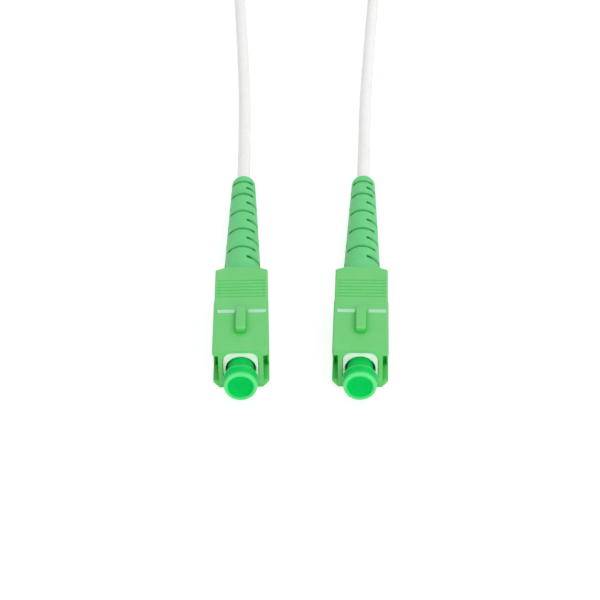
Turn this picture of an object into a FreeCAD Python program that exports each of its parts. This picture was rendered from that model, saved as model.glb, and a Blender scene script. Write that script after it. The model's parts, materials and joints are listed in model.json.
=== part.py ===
"""Fibre optic patch cord: two angled-polish push-pull plugs on one 2.4 mm cable.

Both plugs lie on the table side by side, key up, with their dust caps towards -Y. The cable
leaves the two boots towards +Y and its spare length is wound into one flat coil.
Millimetres, +Z up, origin on the table at the middle of the two plugs.
"""
import FreeCAD, Part
import math
import os

os.makedirs("parts", exist_ok=True)
V = FreeCAD.Vector

# How the two plugs lie
plug_spacing = 19.0        # between the middles of the two grips' front faces
toe_angle = 1.6            # degrees that each plug points inwards at its front

# Clearances
slide_gap = 0.07           # grip over plug frame, and grip over boot
cap_gap = 0.04             # dust cap over ferrule
collar_gap = 0.08          # ferrule collar in its chamber
press_gap = 0.02           # ferrule in collar, yarn under crimp ring
seat_gap = 0.06            # moulded pieces that never move on each other
cable_gap = 0.05           # cable in boot and crimp ring
wire_gap = 0.05            # spring ends to their seats

# Grip, the outer sliding shell
grip_top_wall = 0.5
grip_rear_wall = 0.53      # over the round opening that the boot passes through
grip_tail = 4.85           # behind the stop ring's collar
grip_edge_radius = 0.4
finger_start = 14.6        # the finger zone lies behind this
finger_inset = 0.08        # and is narrower by this on each side
finger_ramp = 0.5
rear_cut_wide = 1.3        # plan size of the two rear corner cuts
rear_cut_long = 0.65
rib_count = 6
rib_pitch = 0.96
rib_start = 0.9            # first groove behind the finger zone's edge
rib_width = 0.45
rib_depth = 0.18
rib_margin = 0.5           # plain strip at each end of a groove
inner_bar = 0.7            # wall between plug frame and latch channel
channel_depth = 0.93
channel_length = 4.7
flange_height = 1.0        # grip above each channel
flange_bevel = 0.4         # cut across the front corner of each flange
rail_height = 1.4          # grip below each channel
pocket_wall = 0.25         # skin outside the pocket behind each channel
pocket_length = 1.0
latch_window_height = 3.0
latch_window_length = 2.0
latch_window_inset = 0.3   # ahead of the end of the pocket
lead_corner = 1.35         # lower front corner cuts, at the front face
lead_length = 4.0
lead_chin = 0.3            # bevel under the front edge
lead_chin_length = 1.2
rail_bevel = 0.5           # bevel on the front edge of each lower rail

# Key on the grip's top
key_width = 1.65
key_height = 1.0
key_start = 5.0
key_length = 6.2
key_radius = 0.3

# White index marks beside the key
mark_length = 1.0
mark_key_gap = 0.235       # from the key's side to the near end of a mark
mark_margin = 0.47         # from the far end of a mark to the grip's side
mark_shift = 0.12          # both marks lie this far to the right of the middle
mark_middle = 11.16
mark_depth = 0.2
mark_gap = 0.03

# Plug frame, the inner body
frame_bore = 4.9           # takes the adapter's sleeve
frame_side_wall = 0.35
frame_top_wall = 0.68
frame_setback = 0.1        # its front end behind the grip's front face
frame_length = 18.5        # from the grip's front face to its back end
frame_corner = 1.45
frame_bore_depth = 6.0
frame_web = 1.0
web_hole_gap = 0.35        # web to ferrule
chamber_step = 0.15        # chamber narrower than the sleeve bore on each side
latch_notch_depth = 0.15
rear_window_inset = 0.7    # solid wall behind the snap window
rear_window_length = 1.3
rear_window_height = 2.4

# Ferrule, its collar and its spring
ferrule_diameter = 2.5
ferrule_reach = 2.0        # tip ahead of the grip's front face
ferrule_seat = 1.5         # ferrule inside its collar
ferrule_bore = 0.14
tip_diameter = 1.5
tip_bevel_length = 0.8
polish_angle = 8.0
collar_length = 2.2
collar_notch = 0.6
tail_bore = 1.1
tail_room = 1.5            # left behind the collar's tail at full travel
travel = 1.5               # push-in of the ferrule, and slide of the grip
spring_wire = 0.4
spring_side_gap = 0.3      # spring to chamber
spring_tail_gap = 0.15     # collar's tail to spring
spring_turns = 5.0

# Stop ring, which closes the plug frame
stop_front_length = 2.5
stop_collar_diameter = 5.2
stop_collar_length = 1.0
stop_tube_diameter = 3.5
stop_tube_length = 7.1
stop_bore = 2.3
snap_height = 0.26
snap_side_gap = 0.15
barb_count = 3
barb_height = 0.1
barb_length = 0.7
barb_pitch = 2.0

# Yarn, crimp ring and guide tube
yarn_thickness = 0.14
yarn_short = 0.4           # yarn stops this far ahead of the tube's end
crimp_wall = 0.33
crimp_step_wall = 0.4
crimp_tail_length = 3.8
crimp_flat_depth = 0.07
crimp_lead = 0.1           # crimp ring to stop ring collar
guide_bore = 1.2
guide_wall = 0.3
guide_inset = 0.5

# Cable and fibre
cable_diameter = 2.4
jacket_bore = 1.4
buffer_diameter = 0.9
glass_diameter = 0.125
fibre_tail = 2.6           # buffered fibre inside the jacket
cable_inside_tip = 2.0     # the cable's own node ends this far inside the boot
lead_straight = 6.5        # straight run of a lead out of its boot
coil_run = 13.0            # straight run of a lead into the coil

# Boot
boot_plain_length = 9.4
boot_tip_diameter = 4.3
boot_length = 37.6
boot_tip_bevel = 0.5
boot_slot_width = 0.65
boot_slot_start = 8.4      # from the boot's front end to its first slot
boot_slot_count = 8
tip_slot_pitch = 2.35
tip_slot_count = 2
tip_slot_room = 2.42       # from the last slot to the boot's tip
slot_floor_base = 1.75     # from the axis to the floor of the first slot
slot_floor_tip = 1.12
slot_side_rise = 0.3       # floors of the slots at the sides are higher by this
slot_turn = 4.0            # degrees that the whole slot pattern is turned
slot_step = 66.0           # degrees from the slots at the top to those at the sides

# Dust cap
cap_side_gap = 0.43        # cap's sleeve to the plug frame's bore
cap_sleeve_reach = 4.0     # into the plug frame's bore
cap_head_gap = 2.6         # grip's front face to the back of the head
cap_head_length = 2.1
cap_head_diameter = 5.75
cap_face_diameter = 5.15
cap_rim_bevel = 0.16
cap_rim_width = 0.525
cap_dish_depth = 0.55
cap_dish_slope = 0.3
cap_tip_room = 0.3         # ahead of the ferrule's tip

# Coil of the spare cable
coil_radius = 13.0         # middle of its turns
coil_columns = 3
coil_rows = 3
coil_spacing = 2.45        # one turn to the next
coil_middle_y = 146.0
coil_stub = 11.0           # each end runs straight for this long
coil_edge_bevel = 0.6

# Sizes and places that follow from the ones above
frame_width = frame_bore + 2 * frame_side_wall
frame_height = frame_bore + 2 * frame_top_wall
cavity_half_width = frame_width / 2 + slide_gap
cavity_half_height = frame_height / 2 + slide_gap
bar_outer = cavity_half_width + inner_bar
grip_width = 2 * (bar_outer + channel_depth)
grip_height = 2 * (cavity_half_height + grip_top_wall)
axis_height = grip_height / 2
grip_bore_radius = axis_height - grip_rear_wall
boot_diameter = 2 * (grip_bore_radius - slide_gap)
cavity_length = frame_length + 0.5
channel_top = grip_height - flange_height
pocket_back = channel_length + pocket_length
latch_window_start = pocket_back - latch_window_inset - latch_window_length
mark_inner = key_width / 2 + mark_key_gap
mark_outer = grip_width / 2 - mark_margin
web_back = frame_bore_depth + frame_web
chamber_bore = frame_bore - 2 * chamber_step
rear_window_start = frame_length - rear_window_inset - rear_window_length
collar_back = web_back + collar_length
ferrule_back = web_back + ferrule_seat
stop_front = frame_length - stop_front_length
tail_back = stop_front - travel - tail_room
spring_length = stop_front - collar_back
spring_mean_radius = chamber_bore / 2 - spring_side_gap - spring_wire / 2
tail_radius = spring_mean_radius - spring_wire / 2 - spring_tail_gap
stop_collar_back = frame_length + stop_collar_length
grip_length = stop_collar_back + grip_tail
stop_back = stop_collar_back + stop_tube_length
barb_radius = stop_tube_diameter / 2 + barb_height
yarn_inner = barb_radius + press_gap
yarn_outer = yarn_inner + yarn_thickness
yarn_back = stop_back - yarn_short
crimp_inner = yarn_outer + press_gap
crimp_outer = crimp_inner + crimp_wall
crimp_front = stop_collar_back + crimp_lead
crimp_step = stop_back + 0.2
crimp_tail_inner = cable_diameter / 2 + cable_gap
crimp_tail_outer = crimp_tail_inner + crimp_wall
jacket_front = crimp_step + 0.1
crimp_tail_front = crimp_step + crimp_step_wall
crimp_back = crimp_tail_front + crimp_tail_length
boot_front = cavity_length + travel + seat_gap
boot_back = boot_front + boot_length
tip_slots_length = tip_slot_count * tip_slot_pitch + tip_slot_room
boot_slot_pitch = (boot_length - boot_slot_start - tip_slots_length) / (boot_slot_count - 1)
fibre_back = jacket_front + fibre_tail
jacket_bore_back = fibre_back + travel + 0.3
cable_back = boot_back - cable_inside_tip
cap_sleeve_radius = frame_bore / 2 - cap_side_gap
cap_face = -(cap_head_gap + cap_head_length)
setback = (boot_back + cap_face) / 2 * math.cos(math.radians(toe_angle))


def box(x0, x1, y0, y1, z0, z1):
    """A block between two corners, heights measured from the table."""
    return Part.makeBox(x1 - x0, y1 - y0, z1 - z0, V(x0, y0, z0))


def turned(profile):
    """A closed profile of (distance back, radius) pairs turned round the plug's axis."""
    points = [V(radius, back, 0) for back, radius in profile]
    face = Part.Face(Part.makePolygon(points + points[:1]))
    solid = face.revolve(V(0, 0, 0), V(0, 1, 0), 360)
    solid.translate(V(0, 0, axis_height))
    return solid


def rounded_bar(half_width, half_height, radius, front, back):
    """A bar along the plug's axis with four rounded edges."""
    bar = box(-half_width, half_width, front, back,
              axis_height - half_height, axis_height + half_height)
    return bar.makeFillet(radius, [edge for edge in bar.Edges
                                   if abs(edge.Vertexes[0].Y - edge.Vertexes[1].Y) > 0.01])


def tube(inner, outer, front, back):
    """A plain sleeve between two radii on the plug's axis."""
    return turned([(front, inner), (front, outer), (back, outer), (back, inner)])


def rod(radius, front, back):
    """A plain round bar on the plug's axis."""
    return Part.makeCylinder(radius, back - front, V(0, front, axis_height), V(0, 1, 0))


def both_sides(solid):
    """A solid together with its mirror image across the plug's middle."""
    return solid.fuse(solid.mirror(V(0, 0, 0), V(1, 0, 0)))


def polish_tool():
    """The half space ahead of the angled end face, as one large block."""
    size = 4 * ferrule_diameter
    block = Part.makeBox(size, size, size, V(-size / 2, -size, -size / 2))
    block.rotate(V(0, 0, 0), V(1, 0, 0), -polish_angle)
    lift = tip_diameter / 2 * math.tan(math.radians(polish_angle))
    block.translate(V(0, lift - ferrule_reach, axis_height))
    return block


def grip_shell():
    """Outline of the grip in plan, raised to its height, with its long edges rounded."""
    half = grip_width / 2
    rear = half - finger_inset
    side = [(half, 0), (half, finger_start - finger_ramp), (rear, finger_start),
            (rear, grip_length - rear_cut_long), (rear - rear_cut_wide, grip_length)]
    outline = side + [(-x, y) for x, y in reversed(side)]
    points = [V(x, y, 0) for x, y in outline]
    shell = Part.Face(Part.makePolygon(points + points[:1])).extrude(V(0, 0, grip_height))
    long_edges = [edge for edge in shell.Edges
                  if abs(edge.Vertexes[0].Z - edge.Vertexes[1].Z) < 0.01
                  and abs(edge.Vertexes[0].Y - edge.Vertexes[1].Y) > 0.01]
    return shell.makeFillet(grip_edge_radius, long_edges)


def grip_key():
    """The raised key, with rounded upper edges and rounded front corners."""
    top = grip_height + key_height
    root = grip_height - grip_top_wall / 2
    half = key_width / 2
    key = box(-half, half, key_start, key_start + key_length, root, top)
    edges = [edge for edge in key.Edges
             if min(vertex.Z for vertex in edge.Vertexes) > top - 0.01
             or max(vertex.Y for vertex in edge.Vertexes) < key_start + 0.01
             and abs(edge.Vertexes[0].Z - edge.Vertexes[1].Z) > 0.01]
    return key.makeFillet(key_radius, edges)


def corner_lead():
    """The wedge cut from a lower front corner, deepest at the front face."""
    half = grip_width / 2
    sections = []
    for back, size in ((-0.1, lead_corner), (lead_length, 0.02)):
        corner = [V(half + 0.5, back, -0.5), V(half - size - 0.5, back, -0.5),
                  V(half + 0.5, back, size + 0.5)]
        sections.append(Part.makePolygon(corner + corner[:1]))
    return Part.makeLoft(sections, True, True)


def grip():
    """The sliding outer shell, open from end to end."""
    half = grip_width / 2
    solid = grip_shell().fuse(grip_key())
    cuts = [rounded_bar(cavity_half_width, cavity_half_height, frame_corner + slide_gap,
                        -1, cavity_length)]
    cuts.append(rod(grip_bore_radius, cavity_length - 0.1, grip_length + 1))
    channel = box(bar_outer, half + 1, -1, channel_length, rail_height, channel_top)
    pocket = box(bar_outer, half - pocket_wall, channel_length - 0.1, pocket_back,
                 rail_height, channel_top)
    corner = [V(half - flange_bevel, -0.01, channel_top - 0.1),
              V(half + 0.01, -0.01, channel_top - 0.1),
              V(half + 0.01, flange_bevel, channel_top - 0.1)]
    flange = Part.Face(Part.makePolygon(corner + corner[:1])).extrude(V(0, 0, grip_height))
    window = box(cavity_half_width - 0.1, bar_outer + 0.1, latch_window_start,
                 latch_window_start + latch_window_length,
                 axis_height - latch_window_height / 2, axis_height + latch_window_height / 2)
    bevel = [V(bar_outer, -0.01, rail_height - rail_bevel), V(bar_outer, -0.01, rail_height + 0.01),
             V(bar_outer, rail_bevel, rail_height + 0.01)]
    rail = Part.Face(Part.makePolygon(bevel + bevel[:1])).extrude(V(half, 0, 0))
    for tool in (channel, pocket, flange, window, rail, corner_lead()):
        cuts.append(both_sides(tool))
    chin = [V(-half - 1, -0.1, -0.1), V(-half - 1, -0.1, lead_chin),
            V(-half - 1, lead_chin_length, -0.1)]
    cuts.append(Part.Face(Part.makePolygon(chin + chin[:1])).extrude(V(grip_width + 2, 0, 0)))
    cuts += finger_grooves()
    cuts += [mark_block(side, 0) for side in (-1, 1)]
    return solid.cut(cuts)


def finger_grooves():
    """V grooves across the top and bottom of the finger zone."""
    reach = grip_width / 2 - finger_inset - rib_margin
    grooves = []
    for index in range(rib_count):
        middle = finger_start + rib_start + index * rib_pitch
        for face, inward in ((grip_height, -1), (0, 1)):
            section = [V(-reach, middle - rib_width / 2, face),
                       V(-reach, middle, face + inward * rib_depth),
                       V(-reach, middle + rib_width / 2, face),
                       V(-reach, middle, face - inward * rib_depth)]
            groove = Part.Face(Part.makePolygon(section + section[:1]))
            grooves.append(groove.extrude(V(2 * reach, 0, 0)))
    return grooves


def mark_block(side, gap):
    """One index mark, or with no gap the shallow recess that it fills."""
    reach = (mark_outer - mark_inner) / 2 - gap
    middle = mark_shift + side * (mark_inner + mark_outer) / 2
    front = mark_middle - mark_length / 2 + gap
    back = mark_middle + mark_length / 2 - gap
    top = grip_height if gap else grip_height + 1
    return box(middle - reach, middle + reach, front, back, grip_height - mark_depth, top)


def index_marks():
    """The two white marks that lie flush in the grip's top."""
    return Part.makeCompound([mark_block(side, mark_gap) for side in (-1, 1)])


def plug_frame():
    """The white inner body: sleeve bore, web, and the spring's chamber behind it."""
    half = frame_width / 2
    body = rounded_bar(half, frame_height / 2, frame_corner, frame_setback, frame_length)
    bore = frame_bore / 2
    hole = ferrule_diameter / 2 + web_hole_gap
    chamber = chamber_bore / 2
    inside = turned([(-1, 0), (-1, bore), (frame_bore_depth, bore), (frame_bore_depth, hole),
                     (web_back, hole), (web_back, chamber), (frame_length + 1, chamber),
                     (frame_length + 1, 0)])
    notch = both_sides(box(half - latch_notch_depth, half + 1, latch_window_start,
                           latch_window_start + latch_window_length,
                           axis_height - latch_window_height / 2,
                           axis_height + latch_window_height / 2))
    window = box(-half - 1, half + 1, rear_window_start, rear_window_start + rear_window_length,
                 axis_height - rear_window_height / 2, axis_height + rear_window_height / 2)
    return body.cut([inside, notch, window])


def ferrule():
    """The ceramic ferrule, with its conical lead-in and angled end face."""
    radius = ferrule_diameter / 2
    bore = ferrule_bore / 2
    solid = turned([(-ferrule_reach, bore), (-ferrule_reach, tip_diameter / 2),
                    (tip_bevel_length - ferrule_reach, radius), (ferrule_back, radius),
                    (ferrule_back, buffer_diameter / 4), (ferrule_back - 0.6, bore)])
    return solid.cut(polish_tool())


def ferrule_collar():
    """The metal collar that holds the ferrule and carries the spring's front end."""
    outer = chamber_bore / 2 - collar_gap
    inner = ferrule_diameter / 2 + press_gap
    solid = turned([(web_back, inner), (web_back, outer), (collar_back, outer),
                    (collar_back, tail_radius), (tail_back, tail_radius),
                    (tail_back, tail_bore / 2), (ferrule_back, tail_bore / 2),
                    (ferrule_back, inner)])
    notches = []
    for quarter in range(4):
        notch = box(-collar_notch / 2, collar_notch / 2, web_back - 1, collar_back + 1,
                    axis_height + outer - collar_notch, axis_height + outer + 1)
        notch.rotate(V(0, 0, axis_height), V(0, 1, 0), 45 + 90 * quarter)
        notches.append(notch)
    return solid.cut(notches)


def spring():
    """The coil spring between the ferrule's collar and the stop ring."""
    radius = spring_mean_radius
    thick = spring_wire / 2
    height = spring_length - spring_wire - 2 * wire_gap
    helix = Part.makeHelix(height / spring_turns, height, radius)
    section = [V(radius + thick * math.cos(math.radians(90 * corner)), 0,
                 thick * math.sin(math.radians(90 * corner))) for corner in range(4)]
    wire = Part.makePolygon(section + section[:1])
    solid = Part.Wire(helix).makePipeShell([wire], True, True)
    solid.rotate(V(0, 0, 0), V(1, 0, 0), -90)
    solid.translate(V(0, collar_back + thick + wire_gap, axis_height))
    return solid


def stop_ring():
    """The rear body: pressed into the frame in front, a barbed tube for the crimp behind."""
    front = chamber_bore / 2 - seat_gap
    stem = stop_tube_diameter / 2
    profile = [(stop_front, stop_bore / 2), (stop_front, front), (frame_length, front),
               (frame_length, stop_collar_diameter / 2),
               (stop_collar_back, stop_collar_diameter / 2), (stop_collar_back, stem)]
    for index in range(barb_count):
        start = stop_collar_back + 0.6 + index * barb_pitch
        profile += [(start, stem), (start + barb_length, barb_radius), (start + barb_length, stem)]
    profile += [(stop_back, stem), (stop_back, stop_bore / 2)]
    ridge = tube(front - 0.1, front + snap_height, rear_window_start + snap_side_gap,
                 rear_window_start + rear_window_length - snap_side_gap)
    reach = rear_window_height / 2 - snap_side_gap
    ridge = ridge.common(box(-frame_width, frame_width, 0, grip_length,
                             axis_height - reach, axis_height + reach))
    return turned(profile).fuse(ridge)


def aramid_yarn():
    """The cable's yarn, folded over the stop ring's tube."""
    return tube(yarn_inner, yarn_outer, stop_collar_back + 2 * crimp_lead, yarn_back)


def crimp_ring():
    """The stepped crimp: wide over the yarn, narrow over the jacket, with six pressed flats."""
    solid = turned([(crimp_front, crimp_inner), (crimp_front, crimp_outer),
                    (crimp_tail_front, crimp_outer), (crimp_tail_front, crimp_tail_outer),
                    (crimp_back, crimp_tail_outer), (crimp_back, crimp_tail_inner),
                    (crimp_step, crimp_tail_inner), (crimp_step, crimp_inner)])
    flats = []
    for side in range(6):
        flat = box(-crimp_outer, crimp_outer, crimp_front + 0.8, crimp_step - 0.8,
                   axis_height + crimp_outer - crimp_flat_depth, axis_height + crimp_outer + 1)
        flat.rotate(V(0, 0, axis_height), V(0, 1, 0), 60 * side)
        flats.append(flat)
    return solid.cut(flats)


def guide_tube():
    """The soft tube that leads the fibre through the stop ring."""
    inner = guide_bore / 2
    return tube(inner, inner + guide_wall, stop_front + guide_inset, jacket_front)


def fibre():
    """The glass through the ferrule and its buffer coating behind it."""
    glass = rod(glass_diameter / 2, -ferrule_reach, ferrule_back + 0.2).cut(polish_tool())
    return glass.fuse(rod(buffer_diameter / 2, ferrule_back + 0.1, fibre_back))


def cable_end():
    """The cable inside the crimp ring and boot, hollow where the fibre can slide."""
    solid = rod(cable_diameter / 2, jacket_front, cable_back)
    return solid.cut(rod(jacket_bore / 2, jacket_front - 1, jacket_bore_back))


def boot_outer_radius(back):
    """The boot's outside: plain at first, then an even taper to its tip."""
    plain_end = boot_front + boot_plain_length
    share = max(0.0, (back - plain_end) / (boot_back - plain_end))
    return boot_diameter / 2 + share * (boot_tip_diameter - boot_diameter) / 2


def boot_slots():
    """Flat-bottomed slots in opposed pairs, in turn at the sides and at the top and bottom."""
    gaps = [boot_slot_pitch] * (boot_slot_count - 1) + [tip_slot_pitch] * tip_slot_count
    places = [boot_front + boot_slot_start]
    for gap in gaps:
        places.append(places[-1] + gap)
    cuts = []
    for index, place in enumerate(places):
        share = index / (len(places) - 1)
        sideways = (index + 1) % 2
        floor = (slot_floor_base + share * (slot_floor_tip - slot_floor_base)
                 + sideways * slot_side_rise)
        reach = boot_diameter
        for turn in (0, 180):
            slab = box(-reach, reach, place - boot_slot_width / 2, place + boot_slot_width / 2,
                       axis_height + floor, axis_height + reach)
            slab.rotate(V(0, 0, axis_height), V(0, 1, 0), turn + sideways * slot_step - slot_turn)
            cuts.append(slab)
    return cuts


def boot():
    """The flexible strain relief, stepped inside to pass over the crimp ring and cable."""
    tip = boot_outer_radius(boot_back)
    plain_end = boot_front + boot_plain_length
    wide = crimp_outer + seat_gap
    middle = crimp_tail_outer + seat_gap
    narrow = cable_diameter / 2 + cable_gap
    bevel = boot_tip_bevel
    steps = [(boot_front, wide), (boot_front, boot_diameter / 2),
             (plain_end, boot_diameter / 2), (boot_back - bevel, tip),
             (boot_back - 0.3 * bevel, tip - 0.3 * bevel), (boot_back, tip - bevel),
             (boot_back, narrow),
             (crimp_back + 0.2, narrow), (crimp_back + 0.2, middle),
             (crimp_tail_front + 0.2, middle), (crimp_tail_front + 0.2, wide)]
    return turned(steps).cut(boot_slots())


def dust_cap():
    """The push-on cap: a sleeve over the ferrule and a flared, dished head."""
    bore = ferrule_diameter / 2 + cap_gap
    sleeve = cap_sleeve_radius
    dish = cap_face_diameter / 2 - cap_rim_width
    head_back = -cap_head_gap
    bore_end = -(ferrule_reach + cap_tip_room)
    bevel = cap_rim_bevel
    back = cap_head_diameter / 2
    front = cap_face_diameter / 2
    floor = cap_face + cap_dish_depth
    return turned([(cap_sleeve_reach, bore), (cap_sleeve_reach, sleeve), (head_back, sleeve),
                   (head_back, back - bevel), (head_back - bevel, back),
                   (cap_face + bevel, front), (cap_face, front - bevel), (cap_face, dish),
                   (floor, dish - cap_dish_slope), (floor, 0), (bore_end, 0), (bore_end, bore)])


def placed(shape, side):
    """A plug's own solid turned by the toe angle and set down on its side of the middle."""
    solid = shape.copy()
    solid.rotate(V(0, 0, 0), V(0, 0, 1), -side * toe_angle)
    solid.translate(V(side * plug_spacing / 2, -setback, 0))
    return solid


def cable_point(back, side):
    """A point on the cable's axis inside a boot, in the frame of the whole cord."""
    turn = math.radians(toe_angle)
    return V(side * (plug_spacing / 2 + back * math.sin(turn)),
             back * math.cos(turn) - setback, axis_height)


def cord_tube(points, name):
    """A round tube along straight runs joined by arcs as large as the runs allow."""
    edges = []
    radii = []
    start = points[0]
    for before, corner, after in zip(points, points[1:], points[2:]):
        arriving = (corner - before).normalize()
        leaving = (after - corner).normalize()
        half_turn = arriving.getAngle(leaving) / 2
        tangent = 0.45 * min((corner - before).Length, (after - corner).Length)
        radius = tangent / math.tan(half_turn)
        inward = (leaving - arriving).normalize()
        first = corner - arriving * tangent
        last = corner + leaving * tangent
        crown = corner + inward * (radius / math.cos(half_turn) - radius)
        edges.append(Part.LineSegment(start, first).toShape())
        edges.append(Part.Arc(first, crown, last).toShape())
        start = last
        radii.append(round(radius, 1))
    edges.append(Part.LineSegment(start, points[-1]).toShape())
    path = Part.Wire(edges)
    circle = Part.makeCircle(cable_diameter / 2, points[0], points[1] - points[0])
    solid = path.makePipeShell([Part.Wire(circle)], True, False)
    expected = math.pi * (cable_diameter / 2) ** 2 * path.Length
    print(name, "arc radii", radii, "length", round(path.Length, 1),
          "volume over section times length", round(solid.Volume / expected, 4))
    return solid


def coil_end(side):
    """Where the coil's straight end stops, low on the left and one turn higher on the right."""
    outermost = coil_radius + coil_spacing * (coil_columns - 1) / 2
    height = cable_diameter / 2 + (coil_spacing if side > 0 else 0)
    return V(side * outermost, coil_middle_y - coil_stub, height)


def cable_coil():
    """The outer shape of the wound spare length, with its two straight ends."""
    thick = cable_diameter / 2
    spread = coil_spacing * (coil_columns - 1) / 2 + thick
    top = coil_spacing * (coil_rows - 1) + cable_diameter
    inner = coil_radius - spread
    outer = coil_radius + spread
    bevel = coil_edge_bevel
    profile = [V(inner + bevel, 0, 0), V(outer - bevel, 0, 0), V(outer, 0, bevel),
               V(outer, 0, top - bevel), V(outer - bevel, 0, top), V(inner + bevel, 0, top),
               V(inner, 0, top - bevel), V(inner, 0, bevel)]
    section = Part.Face(Part.makePolygon(profile + profile[:1]))
    ring = section.revolve(V(0, 0, 0), V(0, 0, 1), 360)
    ring.translate(V(0, coil_middle_y, 0))
    ends = [Part.makeCylinder(thick, coil_stub, coil_end(side), V(0, 1, 0)) for side in (-1, 1)]
    return ring.fuse(ends)


def lead_route(side):
    """The points that one free lead follows from its boot down to the table and to the coil."""
    if side < 0:
        free = [V(-11.7, 50.5, 1.5), V(-12.4, 72.0, 1.2), V(-14.0, 100.0, 1.2)]
    else:
        free = [V(11.7, 50.5, 1.5), V(12.4, 72.0, 1.2), V(14.0, 100.0, 1.5)]
    start = cable_point(cable_back, side)
    outside = cable_point(boot_back + lead_straight, side)
    arrival = coil_end(side) - V(0, coil_run, 0)
    return [start, outside] + free + [arrival, coil_end(side)]


nodes = {}
plug_parts = {
    "grip": grip, "index_marks": index_marks, "plug_frame": plug_frame, "ferrule": ferrule,
    "ferrule_collar": ferrule_collar, "spring": spring, "stop_ring": stop_ring,
    "aramid_yarn": aramid_yarn, "crimp_ring": crimp_ring, "guide_tube": guide_tube,
    "fibre": fibre, "cable_end": cable_end, "boot": boot, "dust_cap": dust_cap,
}
for part_name, make in plug_parts.items():
    shape = make()
    for side_name, side in (("left", -1), ("right", 1)):
        nodes[part_name + "_" + side_name] = placed(shape, side)
for side_name, side in (("left", -1), ("right", 1)):
    name = "cable_lead_" + side_name
    nodes[name] = cord_tube(lead_route(side), name)
nodes["cable_coil"] = cable_coil()

for name, shape in nodes.items():
    bounds = shape.BoundBox
    print(name, "solids", len(shape.Solids), "valid", shape.isValid(),
          "volume", round(shape.Volume, 2),
          "x", round(bounds.XMin, 2), round(bounds.XMax, 2),
          "y", round(bounds.YMin, 2), round(bounds.YMax, 2),
          "z", round(bounds.ZMin, 2), round(bounds.ZMax, 2))
    shape.exportStep("parts/" + name + ".step")
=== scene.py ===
# %% [markdown]
# # A fibre optic patch cord with two push-pull plugs
#
# The object is one thin white cable with the same plug on each of its two ends. Each plug has
# a green outer grip that slides, a white frame inside it, a ceramic ferrule on a spring, a long
# slotted boot that keeps the cable from kinking, and a green dust cap pushed over the ferrule.
#
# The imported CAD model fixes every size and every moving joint. This script gives it its looks:
# it keeps the small hard parts as they are, replaces the grip and the plug frame by copies with
# softened edges, and builds the boot, the dust cap and the cable as smooth new pieces.
#
# Two kinds of place are used. A point in the room is (x, y, z) in metres, with the table at
# z = 0. A point on a plug is (across, back, up) in millimetres: across is to the right as the
# camera sees it, back runs from the front face of the grip towards the cable, and up is the
# height.

import json
import math

import bmesh
import bpy
import numpy as np
from mathutils import Matrix


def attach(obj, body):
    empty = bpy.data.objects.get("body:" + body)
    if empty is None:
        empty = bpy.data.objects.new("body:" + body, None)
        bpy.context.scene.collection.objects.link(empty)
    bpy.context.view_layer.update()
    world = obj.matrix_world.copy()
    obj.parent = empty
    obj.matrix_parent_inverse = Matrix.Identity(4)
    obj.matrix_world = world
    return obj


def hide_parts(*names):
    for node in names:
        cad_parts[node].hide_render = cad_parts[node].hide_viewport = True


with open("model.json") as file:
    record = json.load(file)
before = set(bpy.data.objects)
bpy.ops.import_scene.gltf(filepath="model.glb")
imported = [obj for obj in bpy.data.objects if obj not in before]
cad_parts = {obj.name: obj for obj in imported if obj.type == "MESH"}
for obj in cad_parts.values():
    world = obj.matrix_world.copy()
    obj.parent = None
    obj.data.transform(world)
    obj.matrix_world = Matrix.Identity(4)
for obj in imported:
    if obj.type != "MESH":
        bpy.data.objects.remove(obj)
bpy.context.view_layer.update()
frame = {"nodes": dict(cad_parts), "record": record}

MM = 0.001
SIDES = ("left", "right")

# %% [markdown]
# ## Where the two plugs lie
#
# The plugs are the same, so each piece is worked out once, on a plug, and then set down twice.
# The record's mount on each plug gives its origin and the way its front looks. Turning the
# points by those numbers, rather than turning the objects, keeps every object at the room's
# origin, as the CAD nodes are, and a pattern on Object coordinates then stays where it is.

# %% Turn plug points into room points
mounts = {mount["name"]: mount for mount in frame["record"]["mounts"]}
AXIS_HEIGHT = mounts["plug_left"]["pos_m"][2] / MM


def plug_to_room(points, side):
    """Room point = origin + across * right + back * backward + up * z, for a whole array."""
    mount = mounts["plug_" + side]
    backward = -np.array(mount["axis"])
    right = np.array([backward[1], -backward[0], 0.0])
    upward = np.array([0.0, 0.0, 1.0])
    origin = np.array([mount["pos_m"][0], mount["pos_m"][1], 0.0])
    return origin + MM * (np.asarray(points, dtype=float) @ np.array([right, backward, upward]))


print("front faces", [plug_to_room([0, 0, AXIS_HEIGHT], side).round(4) for side in SIDES])

# %% [markdown]
# ## The camera
#
# The photograph was taken from in front and above, with a long lens: the two plugs shrink only
# a little towards their boots. The camera's place, its lens and the small turn about its own
# line of sight were found by matching known edges of both plugs, such as the grip's corners
# and the boot's tip, to their places in the picture. The picture is square and 600 pixels wide.
#
# A camera and a lamp are both placed best by what they look at. One function turns a target,
# a distance and two angles into the matrix that either of them needs.

# %% Aim a camera or a lamp
def aimed(target, distance, azimuth, elevation, roll=0.0):
    """Place = target + distance * back, where back is the way from the target to the place. The
    matrix has its right, its up and back as columns. Angles are in degrees: azimuth 0 is
    straight in front of the plugs, and 90 is to the right."""
    azimuth, elevation, roll = np.radians([azimuth, elevation, roll])
    back = np.array([np.sin(azimuth) * np.cos(elevation),
                     -np.cos(azimuth) * np.cos(elevation), np.sin(elevation)])
    level = np.array([np.cos(azimuth), np.sin(azimuth), 0.0])
    above = np.cross(back, level)
    right = np.cos(roll) * level + np.sin(roll) * above
    upward = -np.sin(roll) * level + np.cos(roll) * above
    turn = Matrix(np.column_stack([right, upward, back]).tolist())
    return Matrix.Translation((target + distance * back).tolist()) @ turn.to_4x4()


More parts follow.
